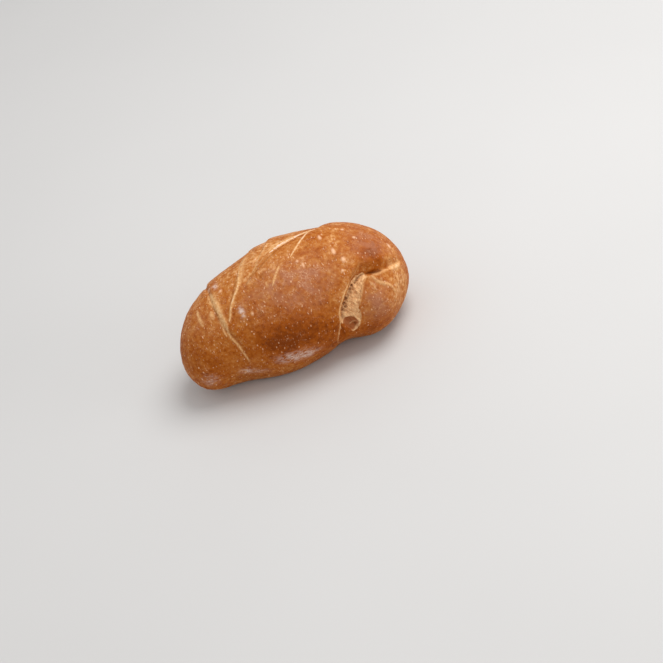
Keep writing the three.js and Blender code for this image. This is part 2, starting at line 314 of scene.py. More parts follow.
FLOOR_HALF = 3.0
LENS = 85  # focal length and sensor width, in millimetres as Blender counts them
SENSOR = 36
AIM_HEIGHT = 30 * MM
CAMERA_ASIDE = 23.24 * MM  # moves the camera along its own axes, so that the bun lies off centre
CAMERA_ABOVE = -17.09 * MM
WORLD_LIGHT = 0.72
# name, place along the camera's right, up and back, size and power
LIGHTS = [
    ("key", (0.15, 0.85, 0.45), 0.7, 6.5),
    ("side", (0.9, 0.15, 0.5), 0.6, 2.2),
]

# ---- the smooth roll, as in the solid ----------------------------------------


def curved(before, here, after, last, f):
    """What lies at f, from 0 to 1, between here and after on a smooth curve through all four."""
    bend = 2 * before - 5 * here + 4 * after - last + f * (3 * (here - after) + last - before)
    return here + 0.5 * f * (after - before + f * bend)


def with_ends(knots):
    """Knots with one more past each end, in line with the last two."""
    return np.concatenate([[2 * knots[0] - knots[1]], knots, [2 * knots[-1] - knots[-2]]])


def along_roll(stations, t):
    """Values of a smooth curve through evenly spaced stations, for t from -1 to 1."""
    padded = with_ends(np.asarray(stations, float))
    place = (np.clip(t, -1, 1) + 1) * 0.5 * (len(stations) - 1)
    i = np.minimum(place.astype(int), len(stations) - 2)
    return curved(*(padded[i + k] for k in range(4)), place - i)


def settle(z):
    """Turns heights that pass below the table into a soft corner and a flat base."""
    h = np.clip(0.5 + 0.5 * z / BASE_CORNER, 0, 1)
    return z * h + BASE_CORNER * h * (1 - h)


def even_roll(t, angle):
    """Points of the even roll at t from -1 to 1 and angles in radians."""
    t, angle = np.broadcast_arrays(np.asarray(t, float), np.asarray(angle, float))
    rounding = np.where(t < 0, LEFT_END_ROUNDING, RIGHT_END_ROUNDING)
    girth = np.sqrt(np.clip(1 - np.abs(t) ** rounding, 0, None))
    c, s = np.cos(angle), np.sin(angle)
    power = np.where(s > 0, TOP_ROUNDING, FLANK_ROUNDING)
    radius = girth * (np.abs(c) ** power + np.abs(s) ** power) ** (-1 / power)
    middle = along_roll(WIDEST_HEIGHTS, t)
    reach = np.where(s > 0, along_roll(CROWN_HEIGHTS, t) - middle, middle + BASE_DEPTH)
    y = along_roll(CENTRE_LINE, t) - along_roll(HALF_WIDTHS, t) * radius * c
    return np.stack([t * LENGTH / 2 + END_SLANT * y, y, settle(middle + reach * radius * s)], -1)


def outward(surface, t, angle, step=1e-3):
    """Outward unit directions of a surface, from small steps along and round it."""
    a = np.clip(t, -1 + 2 * step, 1 - 2 * step)
    along = surface(a + step, angle) - surface(a - step, angle)
    round_it = surface(a, angle + step) - surface(a, angle - step)
    normal = np.cross(along, round_it)
    return normal / np.linalg.norm(normal, axis=-1, keepdims=True)


def smooth_roll(t, angle):
    """The even roll with its swells and hollows."""
    even = even_roll(t, angle)
    points = even.copy()
    for x, degrees, spread, distance in SWELLS.values():
        place = np.array(2 * x / LENGTH), np.radians(degrees)
        centre = even_roll(*place)
        direction = outward(even_roll, *place) * (1, 1, 0)
        weight = np.exp(-((even - centre) ** 2).sum(-1) / spread**2)
        points += weight[..., None] * distance * direction / np.linalg.norm(direction)
    return points


def on_roll(x, degrees):
    return smooth_roll(2 * np.asarray(x, float) / LENGTH, np.radians(degrees))


# ---- relief -------------------------------------------------------------------


def trace(knots, samples=EDGE_SAMPLES):
    """Samples of a smooth curve on the roll: points, directions and the knots' values."""
    knots = np.asarray(knots, float)
    padded = with_ends(on_roll(knots[:, 0], knots[:, 1]))
    place = np.linspace(0, len(knots) - 1, samples)
    i = np.minimum(place.astype(int), len(knots) - 2)
    f = (place - i)[:, None]
    curve = curved(*(padded[i + k] for k in range(4)), f)
    tangents = np.gradient(curve, axis=0)
    tangents /= np.linalg.norm(tangents, axis=1, keepdims=True)
    return curve, tangents, knots[i] + f * (knots[i + 1] - knots[i])


def nearest_on(curve, points):
    """For each point the nearest sample of a curve, found in blocks to save memory."""
    squares = (curve**2).sum(1)
    blocks = np.array_split(points, len(points) // SEARCH_BLOCK + 1)
    return np.concatenate([(squares - 2 * block @ curve.T).argmin(1) for block in blocks])


def beside(knots, points, normals):
    """Signed distances from a curve, positive on its raised side, and the values beside it."""
    curve, tangents, values = trace(knots)
    nearest = nearest_on(curve, points)
    away = points - curve[nearest]
    spacing = np.linalg.norm(np.gradient(curve, axis=0), axis=1)[nearest]
    slip = (away * tangents[nearest]).sum(1)
    slip = np.where(np.abs(slip) < spacing, slip, 0)
    distance = np.sqrt(np.clip((away**2).sum(1) - slip**2, 0, None))
    side = (away * np.cross(normals, tangents[nearest])).sum(1)
    return np.where(side < 0, -distance, distance), values[nearest]


def shoulder_height(distance, rise, shoulder, reach):
    """A quarter-round shoulder that sinks back into the roll over its reach."""
    up = np.clip(distance / shoulder, 0, 1)
    height = rise * np.sqrt(1 - (1 - up) ** 2) * np.exp(-((np.clip(distance, 0, None) / reach) ** 2))
    return np.where(distance > 0, height, 0)


def smoothstep(low, high, value):
    f = np.clip((value - low) / (high - low), 0, 1)
    return f * f * (3 - 2 * f)


def within(outline, x, degrees, points):
    """Distances from a closed smooth outline on the roll, positive inside it."""
    knots = np.asarray(outline, float)
    place = np.linspace(0, len(knots), EDGE_SAMPLES + 1)
    i = np.minimum(place.astype(int), len(knots) - 1)
    ring = curved(*(knots[(i + k) % len(knots)] for k in (-1, 0, 1, 2)), (place - i)[:, None])
    inside = np.zeros(len(points), bool)
    for (xa, ya), (xb, yb) in zip(ring[:-1], ring[1:]):
        crosses = (ya > degrees) != (yb > degrees)
        inside ^= crosses & (x < xa + (xb - xa) * (degrees - ya) / (yb - ya + 1e-12))
    curve = on_roll(*ring.T)
    distance = np.linalg.norm(points - curve[nearest_on(curve, points)], axis=1)
    return np.where(inside, distance, -distance)


def waves(points, size, seed, count=16):
    """Smooth unevenness of about unit height, in lumps of about the given size."""
    draw = np.random.default_rng(seed)
    directions = draw.normal(size=(count, 3))
    directions *= (draw.uniform(0.6, 1.5, count) / np.linalg.norm(directions, axis=1))[:, None]
    phases = draw.uniform(0, 2 * np.pi, count)
    return np.sin(points @ directions.T * (np.pi / size) + phases).sum(1) * math.sqrt(2 / count)


def relief(points, normals, x, degrees):
    """Heights of layers, lip and pocket, distances into the tear, and the pocket's own field."""
    height = np.zeros(len(points))
    for knots, shoulder, gutter_width, reach in LAYER_EDGES.values():
        distance, values = beside(knots, points, normals)
        rise, gutter = values[:, 2], values[:, 3]
        height += shoulder_height(distance, rise, shoulder, reach)
        height -= gutter * np.exp(-((distance / gutter_width) ** 2))
    distance, values = beside(LIP_KNOTS, points, normals)
    rise, gutter, shoulder, gutter_width, fold = values[:, 2:7].T
    folded = smoothstep(*FOLDED, fold)
    distance += LIP_RAGGEDNESS * (1 - folded) * waves(points, 1.5, 3)
    floor = 1 - np.clip(-distance / gutter_width, 0, 1) ** 2
    wall = folded + (1 - folded) * smoothstep(0, LIP_WALL, -distance)
    curl = folded * np.exp(-((distance / np.maximum(fold, FOLDED[0])) ** 2))
    height += shoulder_height(distance, rise, shoulder, LIP_REACH)
    height -= gutter * np.where(distance < 0, floor * wall, curl)
    inside = within(TEAR_OUTLINE, x, degrees, points)
    inside += LIP_RAGGEDNESS * waves(points, 1.2, 5)
    height -= TORN_CRUST * smoothstep(-0.2, 0.5, inside)

    centre = on_roll(*POCKET[:2])
    away = points - centre
    radius = np.linalg.norm(away, axis=1)
    pocket = np.exp(-((radius / POCKET[2]) ** 4))
    facing = on_roll(*POCKET_RIM_FACING) - centre
    whole = (away @ facing) / np.maximum(radius, 1e-6) / np.linalg.norm(facing)
    rim = np.exp(-(((radius - POCKET_RIM[0]) / POCKET_RIM[1]) ** 2)) * smoothstep(-0.3, 0.5, whole)
    height += POCKET_RIM[2] * rim - POCKET[3] * pocket
    return height, inside, pocket


# ---- colour fields ------------------------------------------------------------


def patches(points, rows):
    """Sum of soft patches: x, angle, spread along the roll, spread round it and amount."""
    total = np.zeros(len(points))
    for x, degrees, along, round_it, amount in rows:
        away = points - on_roll(x, degrees)
        girth = (away[:, 1:] ** 2).sum(1)
        total += amount * np.exp(-((away[:, 0] / along) ** 2) - girth / round_it**2)
    return total


def lines(points, rows):
    """Strengths and heights of soft lines: knots, half width, strength and height."""
    strength = np.zeros(len(points))
    height = np.zeros(len(points))
    for knots, half_width, amount, rise in rows:
        curve, _, _ = trace(knots, MARK_SAMPLES)
        margin = 3 * half_width
        near = ((points > curve.min(0) - margin) & (points < curve.max(0) + margin)).all(1)
        gaps = np.linalg.norm(points[near][:, None] - curve, axis=2)
        place = gaps.argmin(1) / (MARK_SAMPLES - 1)
        width = half_width * (0.3 + 0.7 * np.sqrt(np.sin(np.pi * place)))
        weight = np.exp(-((gaps.min(1) / width) ** 2))
        strength[near] = np.maximum(strength[near], amount * weight)
        height[near] += rise * weight
    return strength, height


def dots(points, rows):
    """Weights of oval spots, 1 in each spot's middle: x, angle, half length round, half width along."""
    total = np.zeros(len(points))
    for x, degrees, half_length, half_width in rows:
        away = points - on_roll(x, degrees)
        oval = (away[:, 0] / half_width) ** 2 + (away[:, 1:] ** 2).sum(1) / half_length**2
        total = np.maximum(total, np.exp(-(oval**1.5)))
    return total


def pits(points):
    """Weights and depths of the gas holes."""
    weight = np.zeros(len(points))
    depth = np.zeros(len(points))
    for x, degrees, radius, deep in PITS:
        hole = np.exp(-((np.linalg.norm(points - on_roll(x, degrees), axis=1) / radius) ** 4))
        weight = np.maximum(weight, hole)
        depth += deep * hole
    return weight, depth


# ---- meshes -------------------------------------------------------------------


def graded(values, lengths, gains, count):
    """Values so spaced that length times gain is even between them."""
    total = np.concatenate([[0], np.cumsum(lengths * (gains[1:] + gains[:-1]) / 2)])
    return np.interp(np.linspace(0, total[-1], count), total, values)


def net_values():
    """Values of t and angles of the net, closer together round the tear."""
    t = -np.cos(np.linspace(0, np.pi, 1500))
    lengths = np.zeros(len(t) - 1)
    for angle in (0.0, np.pi / 2):
        lengths += np.linalg.norm(np.diff(smooth_roll(t, angle), axis=0), axis=1) / 2
    gains = 1 + FINE_GAIN[0] * np.exp(-(((t * LENGTH / 2 - FINE_PLACE[0]) / FINE_SPREAD[0]) ** 2))
    degrees = np.linspace(-115, 245, 1500)
    seen = HIDDEN_GAIN + (1 - HIDDEN_GAIN) * smoothstep(-60, -35, degrees) * smoothstep(150, 110, degrees)
    seen += FINE_GAIN[1] * np.exp(-(((degrees - FINE_PLACE[1]) / FINE_SPREAD[1]) ** 2))
    turn = graded(degrees, np.diff(degrees), seen, FACETS_ROUND + 1)[:-1]
    return graded(t, lengths, gains, STATIONS + 1), np.radians(turn)


def fibre_direction():
    """Unit direction of the torn crumb's fibres."""
    start, end = (on_roll(*place) for place in FIBRE_COURSE)
    return tuple((end - start) / np.linalg.norm(end - start))


def net_faces(rows, columns):
    """Faces of a closed net with a pole at each end: rows of quads between two fans."""
    faces = []
    last = 1 + rows * columns
    for c in range(columns):
        n = (c + 1) % columns
        faces.append((0, 1 + c, 1 + n))
        faces.append((last, last - columns + n, last - columns + c))
    for r in range(rows - 1):
        a = 1 + r * columns
        faces.extend(
            (a + c, a + columns + c, a + columns + (c + 1) % columns, a + (c + 1) % columns)
            for c in range(columns)
        )
    return faces


def roll_mesh(name):
    """The crust with its layers, lip and tear, and its colour fields as attributes."""
    t, angle = net_values()
    t_net, angle_net = (grid.ravel() for grid in np.meshgrid(t[1:-1], angle, indexing="ij"))
    t_net = np.concatenate([[-1.0], t_net, [1.0]])
    angle_net = np.concatenate([[0.0], angle_net, [0.0]])
    smooth = smooth_roll(t_net, angle_net)
    normals = outward(smooth_roll, t_net, angle_net)
    x_net, degrees_net = t_net * LENGTH / 2, np.degrees(angle_net)
    height, tear, pocket = relief(smooth, normals, x_net, degrees_net)
    stretch, ridges = lines(smooth, STRETCH_MARKS)
    # fold: the painted shade along the creases; creases: their grooves
    fold, creases = lines(smooth, CREASE_SHADE_LINES)
    hole, depths = pits(smooth)
    blister = dots(smooth, LARGE_BLISTERS)
    height += ridges + creases - depths + LARGE_BLISTER_HEIGHT * blister
    fade = smoothstep(0, RELIEF_FADE, smooth[:, 2])
    lift = normals * (height * (smooth[:, 2] > 0))[:, None]
    lift[:, 2] *= fade
    raised = smooth + lift
    raised[:, 2] = np.clip(raised[:, 2], 0, None)
    middle = (raised.min(0) + raised.max(0)) / 2
    low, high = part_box(NODE)
    shift = np.array((low + high) / 2) / MM - middle
    placed = (raised + shift * (1, 1, 0)) * MM

    mesh = bpy.data.meshes.new(name)
    mesh.from_pydata(placed.tolist(), [], net_faces(STATIONS - 1, FACETS_ROUND))
    flour = patches(smooth, FLOUR_PATCHES) + FLOUR_EDGE[1] * smoothstep(FLOUR_EDGE[0], 0, smooth[:, 2])
    even = 1 - np.clip(stretch, 0, 1)
    fields = {
        "relief_fade": fade,
        "tear": tear,
        "pocket": pocket,
        # where the gas holes get painted shade
        "hole": hole,
        # how baked the crust is, with painted shade under the lip's curl
        "bake_and_shade": np.clip(BAKE_LEVEL + patches(smooth, BAKE_AND_SHADE_PATCHES), 0, 1),
        # painted sheen, the soft reflection of the light
        "painted_sheen": np.clip(patches(smooth, PAINTED_SHEEN_PATCHES), 0, 1),
        "flour": np.clip(flour, 0, 1),
        "stretch": stretch,
        # painted shade along the creases and under the lip
        "fold": fold,
        "blister": blister,
        "blistering": smoothstep(*BLISTER_CLEARANCE, tear) * smoothstep(*BLISTER_FADE, fade) * even,
    }
    for key, values in fields.items():
        attribute = mesh.attributes.new(key, "FLOAT", "POINT")
        attribute.data.foreach_set("value", values.astype(np.float32))
    mesh.polygons.foreach_set("use_smooth", np.ones(len(mesh.polygons), bool))
    mesh.update()
    return mesh


# ---- node trees ----------------------------------------------------------------


class Graph:
    """Adds nodes to a tree. An input's value may be a socket, which is linked, or a constant."""

    def __init__(self, tree):
        self.tree = tree

    def add(self, kind, inputs=None, **settings):
        node = self.tree.nodes.new(kind)
        for key, value in settings.items():
            setattr(node, key, value)
        for key, value in (inputs or {}).items():
            if isinstance(value, bpy.types.NodeSocket):
                self.tree.links.new(value, node.inputs[key])
            else:
                node.inputs[key].default_value = value
        return node

    def out(self, kind, inputs=None, **settings):
        """Adds a node and gives its first output."""
        return self.add(kind, inputs, **settings).outputs[0]

    def math(self, operation, a, b=0.0, c=0.0, clamp=False):
        return self.out("ShaderNodeMath", {0: a, 1: b, 2: c}, operation=operation, use_clamp=clamp)

    def times(self, a, b, clamp=False):
        return self.math("MULTIPLY", a, b, clamp=clamp)

    def vector(self, operation, a, b=(0.0, 0.0, 0.0)):
        return self.out("ShaderNodeVectorMath", {0: a, 1: b}, operation=operation)

    def dot(self, a, b):
        node = self.add("ShaderNodeVectorMath", {0: a, 1: b}, operation="DOT_PRODUCT")
        return node.outputs["Value"]

    def scale(self, vector, factor):
        return self.out("ShaderNodeVectorMath", {0: vector, "Scale": factor}, operation="SCALE")

    def noise(self, vector, size, detail=2.0, roughness=0.5):
        """Noise from 0 to 1 whose lumps are about size metres wide; size may be a socket."""
        scale = self.math("DIVIDE", 1.0, size) if isinstance(size, bpy.types.NodeSocket) else 1 / size
        inputs = {"Vector": vector, "Scale": scale, "Detail": detail, "Roughness": roughness}
        return self.out("ShaderNodeTexNoise", inputs)

    def warp(self, vector, size, distance):
        """The vector moved about by noise, so that what reads it looks less regular."""
        noise = self.add("ShaderNodeTexNoise", {"Vector": vector, "Scale": 1 / size}).outputs["Color"]
        return self.vector("ADD", vector, self.scale(self.vector("SUBTRACT", noise, (0.5,) * 3), distance))

    def ramp(self, value, low, high, start=0.0, end=1.0, smooth=True):
        """Maps value from low..high onto start..end, held beyond them."""
        kind = "SMOOTHSTEP" if smooth else "LINEAR"
        inputs = {"Value": value, "From Min": low, "From Max": high, "To Min": start, "To Max": end}
        return self.out("ShaderNodeMapRange", inputs, interpolation_type=kind)


def geometry_tree(name, sockets):
    """An empty geometry tree with named inputs; returns it, its graph and its group input."""
    tree = bpy.data.node_groups.new(name, "GeometryNodeTree")
    tree.interface.new_socket("Geometry", in_out="INPUT", socket_type="NodeSocketGeometry")
    for label, kind, default in sockets:
        socket = tree.interface.new_socket(label, in_out="INPUT", socket_type="NodeSocket" + kind)
        if default is not None:
            socket.default_value = default
    tree.interface.new_socket("Geometry", in_out="OUTPUT", socket_type="NodeSocketGeometry")
    graph = Graph(tree)
    return tree, graph, graph.add("NodeGroupInput").outputs


def finish_tree(graph, geometry, material):
    """Ends a geometry tree: instances are realized and the material is set."""
    real = graph.out("GeometryNodeRealizeInstances", {"Geometry": geometry})
    painted = graph.out("GeometryNodeSetMaterial", {"Geometry": real, "Material": material})
    graph.add("NodeGroupOutput", {"Geometry": painted})


def apply_tree(mesh, tree, values, name):
    """Runs a geometry tree on a mesh and returns the result as a plain, linked object."""
    holder = bpy.data.objects.new(name + "_source", mesh)
    bpy.context.scene.collection.objects.link(holder)
    modifier = holder.modifiers.new(tree.name, "NODES")
    modifier.node_group = tree
    for item in tree.interface.items_tree:
        if item.in_out == "INPUT" and item.name in values:
            modifier[item.identifier] = values[item.name]
    evaluated = holder.evaluated_get(bpy.context.evaluated_depsgraph_get())
    result = bpy.data.meshes.new_from_object(evaluated)
    holder.modifiers.clear()
    bpy.data.objects.remove(holder)
    result.name = name
    piece = bpy.data.objects.new(name, result)
    bpy.context.scene.collection.objects.link(piece)
    return piece


def named(graph, attribute, kind="FLOAT"):
    return graph.out("GeometryNodeInputNamedAttribute", {"Name": attribute}, data_type=kind)


def store(graph, geometry, name, value):
    return graph.out("GeometryNodeStoreNamedAttribute", {
        "Geometry": geometry, "Name": name, "Value": value,
    }, data_type="FLOAT", domain="POINT")


def chance(graph, low, high, seed):
    """A random value for each point."""
    inputs = {2: low, 3: high, 8: seed}
    return graph.add("FunctionNodeRandomValue", inputs, data_type="FLOAT").outputs[1]


def skin_tree():
    """Fine relief: the crust's unevenness and wrinkles, the torn crumb's fibres and holes."""
    tree, g, given = geometry_tree("Crust skin", [
        ("Undulation Size", "Float", 0.014), ("Undulation Height", "Float", 0.0006),
        ("Dimple Size", "Float", 0.0045), ("Dimple Height", "Float", 0.0004),
        ("Wrinkle Size", "Float", 0.0018), ("Wrinkle Height", "Float", 0.0002),
        ("Fibre Direction", "Vector", (0.0, 0.0, 1.0)),
        ("Fibre Size", "Float", 0.0011), ("Fibre Height", "Float", 0.0009),
        ("Bubble Size", "Float", 0.0021), ("Bubble Depth", "Float", 0.0007),
        ("Material", "Material", None),
    ])
    position = g.out("GeometryNodeInputPosition")
    crumb = g.ramp(named(g, "tear"), 0.1, 0.9)
    crust = 0.0
    for layer, detail in (("Undulation", 1.0), ("Dimple", 1.0), ("Wrinkle", 2.0)):
        lump = g.math("SUBTRACT", g.noise(position, given[layer + " Size"], detail), 0.5)
        crust = g.math("MULTIPLY_ADD", lump, given[layer + " Height"], crust)
    course = given["Fibre Direction"]
    shortened = g.scale(course, g.times(g.dot(position, course), 0.8))
    squeezed = g.vector("SUBTRACT", position, shortened)
    fibre = g.math("SUBTRACT", g.noise(squeezed, given["Fibre Size"], 3.0, 0.6), 0.5)
    cells = g.add("ShaderNodeTexVoronoi", {
        "Vector": squeezed, "Scale": g.math("DIVIDE", 1.0, given["Bubble Size"]),
    }, feature="SMOOTH_F1")
    bubble = g.ramp(cells.outputs["Distance"], 0.1, 0.5, 1.0, 0.0)
    torn = g.times(fibre, given["Fibre Height"])
    torn = g.math("SUBTRACT", torn, g.times(bubble, given["Bubble Depth"]))
    height = g.out("ShaderNodeMix", {0: crumb, 2: crust, 3: torn}, data_type="FLOAT")
    height = g.times(height, named(g, "relief_fade"))
    offset = g.scale(g.out("GeometryNodeInputNormal"), height)
    moved = g.out("GeometryNodeSetPosition", {"Geometry": given["Geometry"], "Offset": offset})
    moved = store(g, moved, "bubble", bubble)
    moved = store(g, moved, "fibre", g.math("ADD", fibre, 0.5))
    finish_tree(g, moved, given["Material"])
    return tree


def spread(g, given, mask):
    """Points spread evenly over a mesh as far as the mask allows, and the normals there."""
    points = g.add("GeometryNodeDistributePointsOnFaces", {
        "Mesh": given["Geometry"], "Distance Min": given["Spacing"], "Density Max": given["Density"],
        "Density Factor": mask, "Seed": given["Seed"],
    }, distribute_method="POISSON")
    return points.outputs["Points"], points.outputs["Normal"]


def turned(g, normal, course, spin, seed):
    """A rotation with Z along the normal and X along the course, give or take a spin."""
    upright = g.out("FunctionNodeAlignRotationToVector", {"Vector": normal}, axis="Z")
    inputs = {"Rotation": upright, "Vector": course}
    along = g.out("FunctionNodeAlignRotationToVector", inputs, axis="X", pivot_axis="Z")
    inputs = {"Axis": (0.0, 0.0, 1.0), "Angle": chance(g, -spin, spin, seed)}
    turn = g.out("FunctionNodeAxisAngleToRotation", inputs)
    return g.out("FunctionNodeRotateRotation", {0: along, 1: turn}, rotation_space="LOCAL")


def low_dome(g, sides, level):
    """A closed dome of unit half width and height, and how near its top a point is.

    It is the cap of a ball cut at the level, from 0 at its middle to 1 at its top; the
    rest of the ball is below, to be sunk in what the dome stands on.
    """
    ball = g.out("GeometryNodeMeshUVSphere", {"Segments": sides, "Rings": DOME_RINGS, "Radius": 1.0})
    widen = 1 / math.sqrt(1 - level**2)
    lift = 1 / (1 - level)
    cap = g.out("GeometryNodeTransform", {
        "Geometry": ball, "Translation": (0.0, 0.0, -level * lift), "Scale": (widen, widen, lift),
    })
    smooth = g.out("GeometryNodeSetShadeSmooth", {"Geometry": cap})
    up = g.add("ShaderNodeSeparateXYZ", {0: g.out("GeometryNodeInputPosition")}).outputs[2]
    return store(g, smooth, "crown", g.times(up, 1.0, clamp=True))


def blister_tree():
    """Low pale blisters all over the crust, longest round the roll."""
    tree, g, given = geometry_tree("Blisters", [
        ("Seed", "Int", 5), ("Spacing", "Float", 0.0017), ("Density", "Float", 90000.0),
        ("Half Length", "Float", 0.0008), ("Half Width", "Float", 0.00048), ("Height", "Float", 0.00013),
        ("Sides", "Int", 7), ("Material", "Material", None),
    ])
    points, normal = spread(g, given, named(g, "blistering"))
    luck = chance(g, 0.0, 1.0, 3)
    strong = g.times(luck, luck)
    # how pale a blister is painted: pale dough, and partly a painted highlight
    paleness = g.math("MULTIPLY_ADD", strong, BLISTER_PALENESS[1], BLISTER_PALENESS[0])
    points = store(g, points, "paleness", paleness)
    round_it = g.vector("CROSS_PRODUCT", normal, (1.0, 0.0, 0.0))
    rotation = turned(g, normal, round_it, BLISTER_SPIN, 11)
    growth = g.math("MULTIPLY_ADD", strong, BLISTER_GROWTH[1], BLISTER_GROWTH[0])
    size = g.times(growth, chance(g, *BLISTER_SIZES, 17))
    slim = chance(g, *BLISTER_SLIMNESS, 23)
    scale = g.out("ShaderNodeCombineXYZ", {
        0: g.times(g.times(given["Half Length"], size), slim),
        1: g.math("DIVIDE", g.times(given["Half Width"], size), slim),
        2: g.times(given["Height"], size),
    })
    dome = low_dome(g, given["Sides"], BLISTER_LEVEL)
    domes = g.out("GeometryNodeInstanceOnPoints", {
        "Points": points, "Instance": dome, "Rotation": rotation, "Scale": scale,
    })
    finish_tree(g, domes, given["Material"])
    return tree


def strand_tree():
    """Short flat strands of torn dough that lie over the crumb."""
    tree, g, given = geometry_tree("Crumb strands", [
        ("Seed", "Int", 8), ("Spacing", "Float", 0.00085), ("Density", "Float", 900000.0),
        ("Length", "Float", 0.0028), ("Thickness", "Float", 0.06), ("Arch", "Float", 0.06),
        ("Direction", "Vector", (0.0, 0.0, 1.0)), ("Sides", "Int", 6), ("Material", "Material", None),
    ])
    bare = g.times(g.ramp(named(g, "tear"), *BARE_CRUMB), g.ramp(named(g, "pocket"), *OFF_POCKET))
    points, normal = spread(g, given, bare)
    points = store(g, points, "strand", chance(g, *STRAND_PALENESS, 4))
    rotation = turned(g, normal, given["Direction"], STRAND_SPIN, 5)
    rise = g.out("ShaderNodeCombineXYZ", {0: 0.1, 1: -0.12, 2: given["Arch"]})
    arch = g.out("GeometryNodeCurveQuadraticBezier", {
        "Resolution": 6, "Start": (-0.5, 0.0, -0.03), "Middle": rise, "End": (0.5, 0.06, -0.03),
    })
    along = g.add("GeometryNodeSplineParameter").outputs["Factor"]
    run, start, power = STRAND_TAPER
    taper = g.math("POWER", g.math("SINE", g.math("MULTIPLY_ADD", along, run, start)), power)
    section = g.out("GeometryNodeCurvePrimitiveCircle", {"Resolution": given["Sides"], "Radius": 1.0})
    tube = g.out("GeometryNodeCurveToMesh", {
        "Curve": arch, "Profile Curve": section, "Scale": g.times(taper, given["Thickness"]),
        "Fill Caps": True,
    })
    tube = g.out("GeometryNodeSetShadeSmooth", {"Geometry": tube})
    length = g.times(given["Length"], chance(g, *STRAND_LENGTHS, 9))
    flat = g.times(given["Length"], STRAND_FLATNESS)
    scale = g.out("ShaderNodeCombineXYZ", {0: length, 1: given["Length"], 2: flat})
    strands = g.out("GeometryNodeInstanceOnPoints", {
        "Points": points, "Instance": tube, "Rotation": rotation, "Scale": scale,
    })
    finish_tree(g, strands, given["Material"])
    return tree


def flour_tree():
    """Tiny grains of flour where it clings to the crust."""
    tree, g, given = geometry_tree("Flour grains", [
        ("Seed", "Int", 2), ("Spacing", "Float", 0.00035), ("Density", "Float", 2500000.0),
        ("Radius", "Float", 0.00013), ("Material", "Material", None),
    ])
    clinging = g.times(g.ramp(named(g, "flour"), *FLOURED), g.ramp(named(g, "relief_fade"), *ABOVE_BASE))
    points, normal = spread(g, given, clinging)
    rotation = turned(g, normal, (1.0, 0.0, 0.0), math.pi, 7)
    scale = g.times(given["Radius"], chance(g, *GRAIN_SIZES, 13))
    grain = low_dome(g, GRAIN_SIDES, GRAIN_LEVEL)
    grains = g.out("GeometryNodeInstanceOnPoints", {
        "Points": points, "Instance": grain, "Rotation": rotation, "Scale": scale,
    })
    finish_tree(g, grains, given["Material"])
    return tree


# ---- materials -----------------------------------------------------------------


def srgb(red, green, blue):
    """Linear colour of an 8-bit sRGB one."""
    def linear(value):
        value /= 255
        return value / 12.92 if value <= 0.04045 else ((value + 0.055) / 1.055) ** 2.4
    return (linear(red), linear(green), linear(blue))


def opaque(colour):
    return (*colour[:3], 1.0)


def blend(g, factor, below, above):
    """Mixes two colours, each a socket or a constant."""
    inputs = {0: factor}
    for key, value in ((6, below), (7, above)):
        inputs[key] = value if isinstance(value, bpy.types.NodeSocket) else opaque(value)
    return g.add("ShaderNodeMix", inputs, data_type="RGBA").outputs[2]


def new_material(name):
    """A new material, its graph, its shader's inputs and the Object coordinates."""
    material = bpy.data.materials.new(name)
    material.use_nodes = True
    g = Graph(material.node_tree)
    shader = material.node_tree.nodes["Principled BSDF"].inputs
    return material, g, shader, g.add("ShaderNodeTexCoord").outputs["Object"]


def specks(g, position, spacing, least, largest):
    """Soft pale dots, long round the roll: 1 at a dot's middle, and many cells have none."""
    stretched = g.vector("ADD", g.vector("MULTIPLY", position, (1.6, 1.0, 1.0)), (0.37,) * 3)
    cells = g.add("ShaderNodeTexVoronoi", {"Vector": stretched, "Scale": 1 / spacing})
    luck = g.out("ShaderNodeSeparateColor", {0: cells.outputs["Color"]})
    radius = g.ramp(luck, 0.35, 1.0, least, largest, smooth=False)
    return g.times(g.ramp(cells.outputs["Distance"], radius, 0.0, 0.0, 1.0), g.ramp(luck, 0.3, 0.6))


def fine_web(g, position, spacing, width):
    """Thin creases that meet in a net, broken here and there: 1 along a crease."""
    cells = g.add("ShaderNodeTexVoronoi", {
        "Vector": g.warp(position, spacing * 0.8, spacing * 0.9), "Scale": 1 / spacing,
    }, feature="DISTANCE_TO_EDGE")
    broken = g.ramp(g.noise(position, spacing * 1.7, 2.0), 0.46, 0.6)
    return g.times(g.ramp(cells.outputs["Distance"], 0.0, width, 1.0, 0.0), broken)


def tone(g, bake_and_shade, colours):
    """The crust's colour from how far it is baked, darker too where shade is painted under the lip."""
    tones = g.add("ShaderNodeValToRGB", {"Fac": bake_and_shade})
    stops = tones.color_ramp.elements
    stops[0].color = opaque(colours.pale)
    stops[1].color = opaque(colours.dark)
    for key, place in TONES:
        stops.new(place).color = opaque(getattr(colours, key))
    return tones.outputs["Color"]


def crumb_colour(g, field, streak, colours):
    """The torn crumb: pale fibres and strands, shade between them, the pocket, and painted shade in the
    gas holes.
    """
    thick = g.math("MAXIMUM", g.ramp(field["fibre"], 0.35, 0.6), field["strand"])
    colour = blend(g, thick, colours.crumb_shade, colours.crumb)
    hollow = g.times(g.ramp(field["bubble"], 0.5, 1.0), 0.35)
    colour = blend(g, hollow, colour, colours.crumb_shade)
    colour = blend(g, g.ramp(field["pocket"], 0.01, 0.3, 0.0, 0.9), colour, colours.pocket)
    colour = blend(g, g.times(streak, 0.8, clamp=True), colour, colours.crumb)
    # Painted shade in the gas holes.
    return blend(g, g.ramp(field["hole"], 0.1, 0.8, 0.0, 0.7), colour, colours.crumb_hole_shade)


